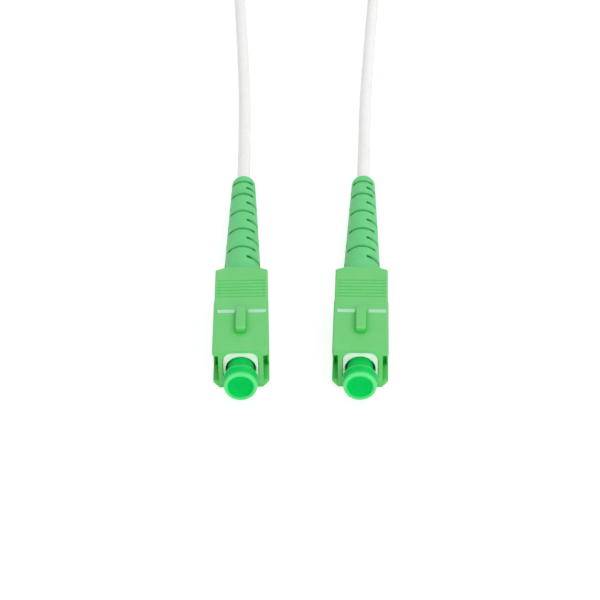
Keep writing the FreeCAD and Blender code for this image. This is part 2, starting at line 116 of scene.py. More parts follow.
# %% Set up the camera
CAMERA_TARGET = np.array([-0.368, -1.419, 0.0]) * MM
CAMERA_DISTANCE = 308.72 * MM
CAMERA_AZIMUTH = 0.946
CAMERA_ELEVATION = 33.993
CAMERA_ROLL = -0.680
FOCAL_PIXELS = 1794.1
PICTURE_PIXELS = 600
SENSOR_WIDTH = 36.0

camera = bpy.data.objects.new("camera", bpy.data.cameras.new("camera"))
bpy.context.collection.objects.link(camera)
camera.matrix_world = aimed(CAMERA_TARGET, CAMERA_DISTANCE, CAMERA_AZIMUTH, CAMERA_ELEVATION,
                            CAMERA_ROLL)
camera.data.sensor_width = SENSOR_WIDTH
camera.data.lens = SENSOR_WIDTH * (FOCAL_PIXELS / PICTURE_PIXELS)
camera.data.clip_start = 0.01
camera.data.clip_end = 20.0
bpy.context.scene.camera = camera
print("lens in mm", round(camera.data.lens, 1))

# %% [markdown]
# ## Colours and material nodes
#
# A finish is a small network of nodes that ends in one Principled shader. Two helpers are
# enough for all of them. One turns a colour as it is read off a screen into the linear
# numbers that a shader works with. The other adds a node of any kind with its settings and
# its inputs, so that each material below reads as a list of what its real surface has.

# %% Helpers for colours and nodes
# A Mix node has its sockets for colours behind those for numbers and for vectors
MIX_SHARE, MIX_FIRST, MIX_SECOND, MIX_RESULT = 0, 6, 7, 2
# A noise texture's values lie mostly between these, and a Map Range stretches them to 0 and 1
TINT_RANGE = {"From Min": 0.35, "From Max": 0.65}
DULLNESS_RANGE = {"From Min": 0.3, "From Max": 0.7}


def linear(hex_colour):
    """Each channel c becomes c / 12.92 below 0.04045 and ((c + 0.055) / 1.055) ** 2.4 above."""
    channels = np.array([int(hex_colour[at:at + 2], 16) / 255 for at in (1, 3, 5)])
    bent = np.where(channels <= 0.04045, channels / 12.92, ((channels + 0.055) / 1.055) ** 2.4)
    return (*bent.tolist(), 1.0)


def add_node(material, kind, settings=None, inputs=None):
    """Adds a node to a material or to the world. inputs go by name or place, and each is a value
    or another node's output."""
    tree = material.node_tree
    made = tree.nodes.new("ShaderNode" + kind)
    for name, value in (settings or {}).items():
        setattr(made, name, value)
    for name, value in (inputs or {}).items():
        if isinstance(value, bpy.types.NodeSocket):
            tree.links.new(value, made.inputs[name])
        else:
            made.inputs[name].default_value = value
    return made


def new_material(name):
    """An empty node material."""
    material = bpy.data.materials.new(name)
    material.use_nodes = True
    material.node_tree.nodes.clear()
    return material


def end_in(material, shader):
    """Links the last shader to the material's output and gives the material back."""
    add_node(material, "OutputMaterial", inputs={"Surface": shader.outputs[0]})
    return material


print("middle grey is", round(linear("#808080")[0], 3), "in linear light")

# %% [markdown]
# ## Moulded plastic
#
# Grip, boot, frame and cap are all injection moulded, and differ in their plastic and in how
# their steel mould was finished. A moulded face is never a mirror: the mould is eroded by
# sparks or blasted, which leaves a fine even grain, and the plastic flows in, which leaves
# faint broad patches. So each plastic gets a colour that drifts a little over some
# millimetres, and a grain that moves its roughness and its bump. Real spark grain is about
# 0.02 mm. The picture has about 6 pixels for each millimetre, so it is drawn ten times
# coarser here, or it would not show at all.
#
# In grooves, slots and other narrow places the colour is painted darker and deeper, as a
# painted shade. An ambient occlusion node finds them: it gives 1 in the open and less where
# close walls hem a point in. The cap gets a painted glow there instead, so its colour for
# narrow places is the brighter one.

# %% A finish for moulded plastics
DULLNESS_DRIFT = 0.05


def moulded_plastic(name, colour, flow_colour, painted_hollow_colour, roughness, grain_depth, flow_size=3.0,
                    grain_size=0.2, ior=1.5, specular=0.5, scattering=0.0,
                    scatter_reach=(0.6, 1.0, 0.6), painted_glow_colour=None, painted_hollow_reach=0.7,
                    painted_hollow_from=0.85, painted_hollow_to=0.35):
    """Colour drifts over flow_size mm, and roughness and bump over grain_size mm. Where walls
    closer than painted_hollow_reach mm leave a share of painted_hollow_from to
    painted_hollow_to open, the colour turns to painted_hollow_colour: a painted shade, or for
    the cap a painted glow. painted_glow_colour is the painted glow that it turns to where the
    mesh's painted_glow attribute is 1."""
    material = new_material(name)
    place = add_node(material, "TexCoord").outputs["Object"]
    flow = add_node(material, "TexNoise", inputs={
        "Vector": place, "Scale": 1 / (flow_size * MM), "Detail": 2.0, "Roughness": 0.5})
    grain = add_node(material, "TexNoise", inputs={
        "Vector": place, "Scale": 1 / (grain_size * MM), "Detail": 3.0, "Roughness": 0.6})
    tint = add_node(material, "MapRange", {"clamp": True}, {
        "Value": flow.outputs["Fac"], **TINT_RANGE})
    shade = add_node(material, "Mix", {"data_type": "RGBA"}, {
        MIX_SHARE: tint.outputs["Result"], MIX_FIRST: linear(colour),
        MIX_SECOND: linear(flow_colour)})
    # Painted shade: where close walls hem a point in, the colour turns darker and deeper, and for
    # the cap brighter, as a painted glow
    openness = add_node(material, "AmbientOcclusion", {"samples": 8}, {
        "Distance": painted_hollow_reach * MM})
    painted_hollow_share = add_node(material, "MapRange", {"clamp": True}, {
        "Value": openness.outputs["AO"], "From Min": painted_hollow_from, "From Max": painted_hollow_to})
    shade = add_node(material, "Mix", {"data_type": "RGBA"}, {
        MIX_SHARE: painted_hollow_share.outputs["Result"], MIX_FIRST: shade.outputs[MIX_RESULT],
        MIX_SECOND: linear(painted_hollow_colour)})
    # Painted glow: the colour turns paler where the mesh's attribute for it is 1
    if painted_glow_colour:
        painted_glow = add_node(material, "Attribute", {"attribute_name": "painted_glow"})
        shade = add_node(material, "Mix", {"data_type": "RGBA"}, {
            MIX_SHARE: painted_glow.outputs["Fac"], MIX_FIRST: shade.outputs[MIX_RESULT],
            MIX_SECOND: linear(painted_glow_colour)})
    dullness = add_node(material, "MapRange", {"clamp": True}, {
        "Value": grain.outputs["Fac"], **DULLNESS_RANGE,
        "To Min": roughness - DULLNESS_DRIFT, "To Max": roughness + DULLNESS_DRIFT})
    surface = add_node(material, "Bump", inputs={
        "Height": grain.outputs["Fac"], "Strength": 0.6, "Distance": grain_depth * MM})
    shader = add_node(material, "BsdfPrincipled", inputs={
        "Base Color": shade.outputs[MIX_RESULT], "Roughness": dullness.outputs["Result"],
        "IOR": ior, "Specular IOR Level": specular, "Normal": surface.outputs["Normal"],
        "Subsurface Weight": scattering, "Subsurface Radius": scatter_reach,
        "Subsurface Scale": MM})
    return end_in(material, shader)


# %% The five plastics
# The fourth colour of each plastic is painted in its narrow places: painted shade, and for the cap
# a painted glow
# PBT, spark-eroded mould: an even, satin green that lightens to white only where it turns away
grip_plastic = moulded_plastic(
    "spark_grained_green_pbt", "#64CF6D", "#6BD075", "#18BC3E", roughness=0.42,
    grain_depth=0.004, painted_hollow_reach=1.4, painted_hollow_from=0.94, painted_hollow_to=0.45)
# TPE rubber, blasted mould: softer and bluer than the grip, with broad soft highlights
boot_rubber = moulded_plastic(
    "blasted_green_tpe", "#65D582", "#5BD17A", "#007C30", roughness=0.52, grain_depth=0.005,
    scattering=0.1, scatter_reach=(0.3, 0.8, 0.4), painted_hollow_from=0.97, painted_hollow_to=0.76)
# PBT without pigment, polished mould: a milky white that picks up the green around it
frame_plastic = moulded_plastic(
    "polished_milk_pbt", "#F6FFF8", "#EEFDF2", "#E4FDEA", roughness=0.3, grain_depth=0.002,
    scattering=0.25, scatter_reach=(0.4, 0.8, 0.5))
# LDPE, polished mould: waxy and saturated, light passes through, and its rims get a painted glow
cap_plastic = moulded_plastic(
    "waxy_green_ldpe", "#00CE5F", "#00C656", "#00FF78", roughness=0.36, grain_depth=0.003,
    ior=1.51, specular=0.06, scattering=0.8, scatter_reach=(0.3, 1.6, 0.8),
    painted_glow_colour="#78E898", painted_hollow_reach=1.2, painted_hollow_from=0.9, painted_hollow_to=0.5)
# The index marks are a second shot of pale plastic in shallow pockets of the grip
mark_plastic = moulded_plastic(
    "second_shot_pale_pbt", "#B2EDC4", "#A8E5C3", "#8FD9A8", roughness=0.4, grain_depth=0.002)
print("plastics", [plastic.name for plastic in (grip_plastic, boot_rubber, frame_plastic,
                                                cap_plastic, mark_plastic)])

# %% [markdown]
# ## The cable's two leads
#
# A 2.4 mm patch cable is a soft white PVC jacket over aramid yarn and one buffered fibre. It
# runs straight out of each boot, because the boot is stiffer than the cable, and then sinks to
# the table and lies there.
#
# A cable is best made as one NURBS curve of order 3 with a round bevel. Such a curve keeps
# inside its control points and never has a corner, so a few given points give a smooth line.
# The first two points of each lead lie on its plug's axis, and the last two lie one behind the
# other, so that the lead leaves the boot and enters the coil straight.

# %% Lay out the leads
CABLE_DIAMETER = 2.4
# Where the free cable starts inside the boot, and where the boot ends, on a plug
CABLE_BACK = 56.16
BOOT_BACK = 58.16
LEAD_STRAIGHT = 6.5
COIL_RUN = 13.0
# Free points in millimetres in the room: to the right, back, and up
LEFT_LEAD = [(-11.7, 50.5, 1.5), (-12.4, 72.0, 1.2), (-14.0, 100.0, 1.2)]
RIGHT_LEAD = [(11.7, 50.5, 1.5), (12.4, 72.0, 1.2), (14.0, 100.0, 1.5)]


def lead_points(side, free_points, coil_end):
    """From inside the boot straight out of it, down to the table, and straight into the coil."""
    boot_run = plug_to_room([(0, CABLE_BACK, AXIS_HEIGHT),
                             (0, BOOT_BACK + LEAD_STRAIGHT, AXIS_HEIGHT)], side)
    coil_run = np.array([coil_end - [0, COIL_RUN, 0], coil_end])
    return np.vstack([boot_run, np.array(free_points) * MM, coil_run * MM])


print("free points of the leads", len(LEFT_LEAD) + len(RIGHT_LEAD))

# %% [markdown]
# ## The coil
#
# The photograph ends a few centimetres behind the boots, so the rest of the cable is put away:
# it is wound into one flat coil of eight and a half turns, just outside the view, which joins
# the two leads.
#
# The turns are more control points of the same curve, sixteen to a turn. Each turn lies in its
# own place of three columns and three rows, and the cable changes place over a tenth of a
# turn, as it does when it is wound by hand. Every second change comes a little earlier, so
# that it doesn't lie on top of the one before it.

# %% Wind the coil
COIL_RADIUS = 13.0
COIL_SPACING = 2.45
COIL_MIDDLE_Y = 146.0
COIL_STUB = 11.0
COIL_TURNS = 8.5
POINTS_PER_TURN = 16
CHANGE_AT = 0.75
CHANGE_SHIFT = 0.08
CHANGE_LENGTH = 0.1
OUTER, MIDDLE, INNER = 1, 0, -1
# The place of each turn in the winding, as (column, row), from the left lead to the right one
TURN_PLACES = [(OUTER, 0), (MIDDLE, 0), (INNER, 0), (INNER, 1), (INNER, 2),
               (MIDDLE, 1), (MIDDLE, 2), (OUTER, 2), (OUTER, 1)]


def coil_points():
    """Angle = 180 degrees - 360 * turns, radius = mean + spacing * column, height = half a cable
    + spacing * row. Column and row go from one place to the next over each change."""
    turns = np.arange(1, int(COIL_TURNS * POINTS_PER_TURN)) / POINTS_PER_TURN
    number = np.arange(len(TURN_PLACES) - 1)
    changes = CHANGE_AT + number + CHANGE_SHIFT * (-1.0) ** number
    share = np.clip((turns[:, None] - changes + CHANGE_LENGTH / 2) / CHANGE_LENGTH, 0, 1)
    steps = np.diff(np.array(TURN_PLACES, dtype=float), axis=0)
    place = np.array(TURN_PLACES[0]) + share @ steps
    radius = COIL_RADIUS + COIL_SPACING * place[:, 0]
    angle = np.pi - 2 * np.pi * turns
    height = CABLE_DIAMETER / 2 + COIL_SPACING * place[:, 1]
    return MM * np.column_stack([radius * np.cos(angle),
                                 COIL_MIDDLE_Y + radius * np.sin(angle), height])


coil_outer = COIL_RADIUS + COIL_SPACING
coil_front = COIL_MIDDLE_Y - COIL_STUB
left_end = np.array([-coil_outer, coil_front, CABLE_DIAMETER / 2])
right_end = np.array([coil_outer, coil_front, CABLE_DIAMETER / 2 + COIL_SPACING])
route = np.vstack([lead_points("left", LEFT_LEAD, left_end), coil_points(),
                   lead_points("right", RIGHT_LEAD, right_end)[::-1]])
print("cable control points", len(route))

# %% Make the cable's curve
cable_curve = bpy.data.curves.new("cable", "CURVE")
cable_curve.dimensions = "3D"
spline = cable_curve.splines.new("NURBS")
spline.points.add(len(route) - 1)
spline.points.foreach_set("co", np.column_stack([route, np.ones(len(route))]).ravel())
spline.order_u = 3
spline.use_endpoint_u = True
cable_curve.resolution_u = 8
cable = bpy.data.objects.new("cable", cable_curve)
bpy.context.collection.objects.link(cable)


def curve_length(piece):
    """Adds up the straight bits of the line that Blender draws for a curve with no bevel."""
    bpy.context.view_layer.update()
    line = bpy.data.meshes.new_from_object(piece)
    spots = np.empty(len(line.vertices) * 3)
    line.vertices.foreach_get("co", spots)
    bpy.data.meshes.remove(line)
    return float(np.linalg.norm(np.diff(spots.reshape(-1, 3), axis=0), axis=1).sum())


cable_length = curve_length(cable)
cable_curve.bevel_depth = CABLE_DIAMETER / 2 * MM
cable_curve.bevel_resolution = 5
cable_curve.use_fill_caps = True
print("cable length in m", round(cable_length, 4))

# %% [markdown]
# ## The cable's jacket
#
# Soft PVC that was extruded, not moulded: its surface is smooth and satin, with a very faint
# unevenness from the extruder. It is a warm, slightly translucent white, so the side away from
# the light turns a soft grey and not a hard one.

RIPPLE_SIZE = 1.5


def extruded_jacket():
    """Satin white PVC with a faint unevenness of RIPPLE_SIZE mm along and around it."""
    material = new_material("extruded_white_pvc")
    place = add_node(material, "TexCoord").outputs["Object"]
    ripple = add_node(material, "TexNoise", inputs={
        "Vector": place, "Scale": 1 / (RIPPLE_SIZE * MM), "Detail": 3.0, "Roughness": 0.55})
    tint = add_node(material, "MapRange", {"clamp": True}, {
        "Value": ripple.outputs["Fac"], **TINT_RANGE})
    shade = add_node(material, "Mix", {"data_type": "RGBA"}, {
        MIX_SHARE: tint.outputs["Result"], MIX_FIRST: linear("#FEFDFB"),
        MIX_SECOND: linear("#FAF9F7")})
    dullness = add_node(material, "MapRange", {"clamp": True}, {
        "Value": ripple.outputs["Fac"], **DULLNESS_RANGE, "To Min": 0.36, "To Max": 0.46})
    surface = add_node(material, "Bump", inputs={
        "Height": ripple.outputs["Fac"], "Strength": 0.2, "Distance": 0.01 * MM})
    shader = add_node(material, "BsdfPrincipled", inputs={
        "Base Color": shade.outputs[MIX_RESULT], "Roughness": dullness.outputs["Result"],
        "IOR": 1.54, "Normal": surface.outputs["Normal"], "Subsurface Weight": 0.15,
        "Subsurface Radius": (1.0, 0.9, 0.8), "Subsurface Scale": 0.6 * MM})
    return end_in(material, shader)


jacket = extruded_jacket()
cable_curve.materials.append(jacket)
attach(cable, "cord")
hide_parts("cable_lead_left", "cable_lead_right", "cable_coil")
print("jacket", jacket.name)

# %% [markdown]
# ## Surfaces from a grid of points
#
# The boot and the dust cap are round pieces. Each is a grid: its rows follow a profile from
# one end to the other, and its columns go round the plug's axis. The whole grid is worked out
# at once as an array and handed to Blender in one call. Where the profile starts and ends on
# the axis, the first and last row shrink to a point, and merging those points closes the pole.

# %% Helpers for round surfaces
def rounded(corners, radii, steps):
    """Each corner c becomes (1-t)^2 a + 2t(1-t) c + t^2 b, with a and b its radius away on the
    runs before and after it. corners are (back, distance from axis) pairs."""
    corners = np.asarray(corners, dtype=float)
    reach = np.asarray(radii, dtype=float)[:, None]
    before = np.roll(corners, 1, axis=0) - corners
    after = np.roll(corners, -1, axis=0) - corners
    a = corners + reach * before / np.linalg.norm(before, axis=1, keepdims=True)
    b = corners + reach * after / np.linalg.norm(after, axis=1, keepdims=True)
    t = np.linspace(0, 1, steps)[None, :, None]
    curve = ((1 - t) ** 2 * a[:, None] + 2 * t * (1 - t) * corners[:, None]
             + t ** 2 * b[:, None]).reshape(-1, 2)
    return curve[np.append(True, np.linalg.norm(np.diff(curve, axis=0), axis=1) > 1e-6)]


def around(back, radius, angle):
    """Grid of plug points: across = r sin(angle), up = axis height + r cos(angle)."""
    across = radius * np.sin(angle)
    up = AXIS_HEIGHT + radius * np.cos(angle)
    return np.stack([across, np.broadcast_to(back, across.shape), up], axis=-1)


def turned(profile, angle):
    """The grid of a profile of (back, distance from axis) pairs that is carried round the axis."""
    radius = np.broadcast_to(profile[:, 1:], (len(profile), angle.shape[1]))
    return around(profile[:, :1], radius, angle)


def grid_mesh(name, points, ring):
    """Quads between neighbouring rows and columns. The columns close round, and so do the rows
    of a ring. Points that coincide are merged, and the faces are turned to point outwards."""
    rows, columns = points.shape[:2]
    index = np.arange(rows * columns).reshape(rows, columns)
    below = index if ring else index[:-1]
    above = np.roll(index, -1, axis=0) if ring else index[1:]
    quads = np.stack([below, np.roll(below, -1, axis=1), np.roll(above, -1, axis=1), above],
                     axis=-1)
    mesh = bpy.data.meshes.new(name)
    mesh.from_pydata(points.reshape(-1, 3).tolist(), [], quads.reshape(-1, 4).tolist())
    work = bmesh.new()
    work.from_mesh(mesh)
    bmesh.ops.remove_doubles(work, verts=work.verts, dist=0.001 * MM)
    bmesh.ops.recalc_face_normals(work, faces=work.faces)
    if work.calc_volume(signed=True) < 0:
        bmesh.ops.reverse_faces(work, faces=work.faces)
    triangles = sum(len(face.verts) - 2 for face in work.faces)
    open_edges = sum(1 for edge in work.edges if not edge.is_manifold)
    print(name, "triangles", triangles, "open edges", open_edges)
    work.to_mesh(mesh)
    work.free()
    mesh.shade_smooth()
    return mesh


def add_piece(name, mesh, material, body, slot, *nodes):
    """Shows a mesh with one material, riding on a body and standing for CAD nodes."""
    piece = bpy.data.objects.new(name, mesh)
    bpy.context.collection.objects.link(piece)
    mesh.materials.clear()
    mesh.materials.append(material)
    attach(piece, body)
    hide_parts(*nodes)
    return piece


# %% [markdown]
# ## The boot
#
# The boot is one soft moulding. It starts inside the grip as a plain cylinder and tapers
# evenly to its tip. Slots in opposed pairs cross it, by turns at the top and bottom and at the
# sides, so the boot bends in every direction but never sharply. The slots have flat floors,
# deep enough near the tip to show the cable itself. The bore is stepped: it grips the crimp
# ring at the front and lets only the cable through behind it.

# %% Boot: sizes and profile
BOOT_FRONT = 20.56
BOOT_LENGTH = BOOT_BACK - BOOT_FRONT
BOOT_RADIUS = 3.1
BOOT_PLAIN = 9.4
BOOT_TIP_RADIUS = 2.15
MOUTH_RADIUS = 2.5
CRIMP_BORE = 2.48
CRIMP_STEP = 27.4
CRIMP_TAIL_BORE = 1.64
CRIMP_BACK = 31.3
CABLE_BORE = 1.25
BORE_WALL = 0.04
# Lengths of the two ends that are drawn by rounded corners, and not by the rows between them
FRONT_END = 0.3
TIP_END = 0.7
SLOT_WIDTH = 0.65
SLOT_LIP = 0.05
# The side slots are turned by SLOT_STEP from the upper ones, and all of them back by SLOT_TURN
SLOT_TURN = math.radians(4.0)
SLOT_STEP = math.radians(66.0)
SLOT_SIDE_RISE = 0.3
FIRST_FLOOR = 1.75
LAST_FLOOR = 1.12
TIP_SLOT_PITCH = 2.35
TIP_SLOT_ROOM = 2.42
SLOT_START = 8.4
LONG_SLOTS = 8
slot_pitch = (BOOT_LENGTH - SLOT_START - TIP_SLOT_ROOM - 2 * TIP_SLOT_PITCH) / (LONG_SLOTS - 1)
slot_places = BOOT_FRONT + SLOT_START + np.concatenate([
    slot_pitch * np.arange(LONG_SLOTS),
    slot_pitch * (LONG_SLOTS - 1) + TIP_SLOT_PITCH * np.array([1, 2])])
# The first pair opens to the sides, the next one upwards and downwards, and so on
sideways = (np.arange(len(slot_places)) + 1) % 2
slot_floors = np.linspace(FIRST_FLOOR, LAST_FLOOR, len(slot_places)) + sideways * SLOT_SIDE_RISE
slot_angles = sideways * SLOT_STEP - SLOT_TURN
print("slot pitch", round(slot_pitch, 3), "last slot", round(slot_places[-1], 2))

# %% [markdown]
# ## The boot's surface
#
# It could be a cylinder with boxes cut from it, but the cuts would leave knife edges. As a
# grid, the radius is just a number for each place and angle: the outside radius, or in a slot
# the distance to its flat floor, which is floor / cos(angle from the slot's middle). Going
# from one to the other over a tenth of a millimetre rounds every lip by itself.

# %% Boot: the surface
BOOT_COLUMNS = 112
ROW_STEP = 0.6
LIP_ROWS = 7


def boot_rows():
    """Distances back: even steps between the two ends, and close steps over each slot's walls."""
    wall = SLOT_WIDTH / 2 + SLOT_LIP * np.linspace(-1, 1, LIP_ROWS)
    near_slots = slot_places[:, None] + np.concatenate([-wall[::-1], [0.0], wall])[None, :]
    even = np.arange(BOOT_FRONT + FRONT_END, BOOT_BACK - TIP_END, ROW_STEP)
    to_slot = np.abs(even[:, None] - slot_places[None, :]).min(axis=1)
    return np.sort(np.concatenate([near_slots.ravel(),
                                   even[to_slot > SLOT_WIDTH / 2 + 2 * SLOT_LIP]]))


def boot_radius(back, angle):
    """Outside radius, and within a slot the smaller of it and floor / |cos(angle - slot)|. The
    smallest cosine that counts, 0.05, keeps the division from running away."""
    taper = np.clip((back - BOOT_FRONT - BOOT_PLAIN) / (BOOT_LENGTH - BOOT_PLAIN), 0, 1)
    outside = BOOT_RADIUS + taper * (BOOT_TIP_RADIUS - BOOT_RADIUS)
    from_slot = np.abs(back[..., None] - slot_places)
    inside = np.clip((SLOT_WIDTH / 2 + SLOT_LIP - from_slot) / (2 * SLOT_LIP), 0, 1)
    inside = inside * inside * (3 - 2 * inside)
    number = from_slot.argmin(axis=-1)
    depth = inside.max(axis=-1)
    lean = np.abs(np.cos(angle - slot_angles[number]))
    floor = np.minimum(outside, slot_floors[number] / np.maximum(lean, 0.05))
    return outside + depth * (floor - outside)


def boot_points():
    """Outside from front to tip, round the tip, and back along the bore, as one closed ring. The
    bore steps in behind the crimp ring, and stays within the slots' floors."""
    angle = np.linspace(0, 2 * np.pi, BOOT_COLUMNS, endpoint=False)[None, :]
    rows = boot_rows()[:, None]
    outside = boot_radius(np.broadcast_to(rows, (len(rows), BOOT_COLUMNS)), angle)
    tip = rounded([(BOOT_BACK - TIP_END, BOOT_TIP_RADIUS + 0.02),
                   (BOOT_BACK, BOOT_TIP_RADIUS - 0.03),
                   (BOOT_BACK, CABLE_BORE), (BOOT_BACK - TIP_END, CABLE_BORE)],
                  [0, 0.55, 0.08, 0], 9)
    front = rounded([(BOOT_FRONT + FRONT_END, MOUTH_RADIUS), (BOOT_FRONT, MOUTH_RADIUS),
                     (BOOT_FRONT, BOOT_RADIUS), (BOOT_FRONT + FRONT_END, BOOT_RADIUS)],
                    [0, 0.02, 0.1, 0], 5)
    bore_rows = rows[::-1]
    bore = np.where(bore_rows > CRIMP_STEP, CRIMP_TAIL_BORE, CRIMP_BORE)
    bore = np.where(bore_rows > CRIMP_BACK, CABLE_BORE, bore)
    bore = np.minimum(bore, outside[::-1] - BORE_WALL)
    return np.concatenate([around(rows, outside, angle), turned(tip, angle),
                           around(bore_rows, bore, angle), turned(front, angle)])


boot_grid = boot_points()
for side in SIDES:
    boot_mesh = grid_mesh("boot_shell_" + side, plug_to_room(boot_grid, side), ring=True)
    add_piece("boot_shell_" + side, boot_mesh, boot_rubber, "cord", "boot_green", "boot_" + side)

# %% [markdown]
# ## The dust cap
#
# The cap is a thin sleeve over the ferrule that widens, in front of the plug, into a flared
# head with a shallow dish. It is pulled off before use and is moulded in a softer, waxier
# plastic than the grip. It is a plain turned shape, so a profile of about a dozen corners, each
# rounded by its own small radius, is carried once round the axis.

# %% Dust cap: the surface
CAP_FACE = -4.7
HEAD_BACK = -2.6
SLEEVE_REACH = 4.0
SLEEVE_RADIUS = 2.02
SLEEVE_BORE = 1.29
HEAD_RADIUS = 2.9
FACE_RADIUS = 2.575
DISH_RADIUS = 2.05
DISH_DEPTH = 0.55
DISH_SLOPE = 0.3
BORE_END = -2.3
CAP_COLUMNS = 96
# Extra rows on the flare, as shares of its length, that carry the glow of the two edges
FLARE_ROWS = (0.2, 0.35, 0.65, 0.8)


def cap_points():
    """The profile from the middle of the dish over the rim and sleeve to the end of the bore.
    Each corner is (back, distance from axis, radius of its rounding)."""
    dish_floor = CAP_FACE + DISH_DEPTH
    flare = [(CAP_FACE + share * (HEAD_BACK - CAP_FACE),
              FACE_RADIUS + share * (HEAD_RADIUS - FACE_RADIUS), 0) for share in FLARE_ROWS]
    corners = np.array([
        (dish_floor, 0, 0), (dish_floor, DISH_RADIUS - DISH_SLOPE, 0.3),
        (CAP_FACE, DISH_RADIUS, 0.14), (CAP_FACE, FACE_RADIUS, 0.2), *flare,
        (HEAD_BACK, HEAD_RADIUS, 0.2), (HEAD_BACK, SLEEVE_RADIUS, 0.12),
        (SLEEVE_REACH, SLEEVE_RADIUS, 0.15), (SLEEVE_REACH, SLEEVE_BORE, 0.08),
        (BORE_END, SLEEVE_BORE, 0.1), (BORE_END, 0, 0)])
    profile = rounded(corners[:, :2], corners[:, 2], 8)
    return turned(profile, np.linspace(0, 2 * np.pi, CAP_COLUMNS, endpoint=False)[None, :])


cap_grid = cap_points()
print("cap rows and columns", cap_grid.shape[:2])

# %% [markdown]
# ## The painted glow of the cap's edges
#
# Light that enters the waxy plastic near an edge leaves again on its other side, so the rim
# round the dish and the head's back edge look paler than the rest. The renderer's scattering
# gives only a part of this, and the rest is a painted glow: each point also carries a number
# that the finish turns into a paler colour. It is an attribute of the mesh, so it follows the
# real edges.

# %% Dust cap: the painted glow, and the pieces
RIM_GLOW = 0.85
RIM_GLOW_DEPTH = 0.65
BACK_GLOW = 0.6
BACK_GLOW_DEPTH = 0.4
GLOW_START = DISH_RADIUS - 0.1
GLOW_RISE = 0.35
EDGE_BACK = 0.1


def paint_rim_glow(mesh, side):
    """Painted glow = RIM_GLOW at the rim and BACK_GLOW at the head's back edge. Each falls to 0
    over its own depth along the axis, and towards the dish. along and away are cylinder
    coordinates."""
    spots = np.empty(len(mesh.vertices) * 3)
    mesh.vertices.foreach_get("co", spots)
    origin = plug_to_room([0, 0, AXIS_HEIGHT], side)
    backward = plug_to_room([0, 1, AXIS_HEIGHT], side) - origin
    from_origin = spots.reshape(-1, 3) - origin
    along = from_origin @ backward / MM ** 2
    away = np.linalg.norm(from_origin - np.outer(along, backward), axis=1) / MM
    outward = np.clip((away - GLOW_START) / GLOW_RISE, 0, 1)
    from_rim = (along - CAP_FACE - EDGE_BACK) / RIM_GLOW_DEPTH
    from_back = np.abs(along - HEAD_BACK) / BACK_GLOW_DEPTH
    glow = np.maximum(RIM_GLOW * np.clip(1 - from_rim, 0, 1),
                      BACK_GLOW * np.clip(1 - from_back, 0, 1))
    attribute = mesh.attributes.new("painted_glow", "FLOAT", "POINT")
    attribute.data.foreach_set("value", outward * glow)


for side in SIDES:
    cap_mesh = grid_mesh("cap_shell_" + side, plug_to_room(cap_grid, side), ring=False)
    paint_rim_glow(cap_mesh, side)
    add_piece("cap_shell_" + side, cap_mesh, cap_plastic, "cap_" + side, "cap_green",
              "dust_cap_" + side)

# %% [markdown]
# ## Grip and plug frame
#
# These two are hard mouldings full of channels, windows and grooves, and the CAD nodes have
# every one of them. What the nodes lack is the tiny radius that any mould leaves on an edge,
# which catches the light as a thin bright line. So each is copied, its loose triangles are
# merged into whole faces, and a Bevel rounds the edges. The copy then stands for the node.

# %% Copy a node and soften its edges
GRIP_EDGE = 0.06
FRAME_EDGE = 0.05


def soften(node_name, piece_name, width, material, body, slot):
    """A merged copy of a CAD node with its sharp edges rounded by width mm."""
    work = bmesh.new()
    work.from_mesh(frame["nodes"][node_name].data)
    bmesh.ops.remove_doubles(work, verts=work.verts, dist=0.001 * MM)
    bmesh.ops.dissolve_limit(work, angle_limit=math.radians(1.0), verts=work.verts,
                             edges=work.edges)
    mesh = bpy.data.meshes.new(piece_name)
    work.to_mesh(mesh)
    work.free()
    if "custom_normal" in mesh.attributes:
        mesh.attributes.remove(mesh.attributes["custom_normal"])
    mesh.shade_smooth()
    piece = add_piece(piece_name, mesh, material, body, slot, node_name)
    bevel = piece.modifiers.new("moulded_edges", "BEVEL")
    bevel.width = width * MM
    bevel.segments = 2
    bevel.limit_method = "ANGLE"
    bevel.angle_limit = math.radians(35)
    bevel.harden_normals = True
    print(piece_name, "faces before its bevel", len(mesh.polygons))


for side in SIDES:
    soften("grip_" + side, "grip_shell_" + side, GRIP_EDGE, grip_plastic, "grip_" + side,
           "grip_green")
    soften("plug_frame_" + side, "frame_shell_" + side, FRAME_EDGE, frame_plastic, "cord",
           "frame_white")

# %% [markdown]
# ## The small parts inside
#
# Behind the cap are the parts that do the work, and they show when the cap is off or the grip
# is drawn back. Their CAD shapes are already right, so they keep them and only get finishes:
# ground zirconia, plated brass, spring steel, turned and pressed metal, aramid yarn, clear
# tube and the fibre's buffer coating.

# %% Finishes for metal and ceramic
def machined_metal(name, colour, roughness, mark_size):
    """Turned, drawn or pressed metal: fine tool marks of mark_size mm, which blur its shine."""
    material = new_material(name)
    place = add_node(material, "TexCoord").outputs["Object"]
    marks = add_node(material, "TexNoise", inputs={
        "Vector": place, "Scale": 1 / (mark_size * MM), "Detail": 4.0, "Roughness": 0.7})
    dullness = add_node(material, "MapRange", {"clamp": True}, {
        "Value": marks.outputs["Fac"], **DULLNESS_RANGE,
        "To Min": roughness - 0.06, "To Max": roughness + 0.08})
    surface = add_node(material, "Bump", inputs={
        "Height": marks.outputs["Fac"], "Strength": 0.4, "Distance": 0.01 * MM})
    shader = add_node(material, "BsdfPrincipled", inputs={
        "Base Color": linear(colour), "Metallic": 1.0, "Roughness": dullness.outputs["Result"],
        "Normal": surface.outputs["Normal"]})
    return end_in(material, shader)


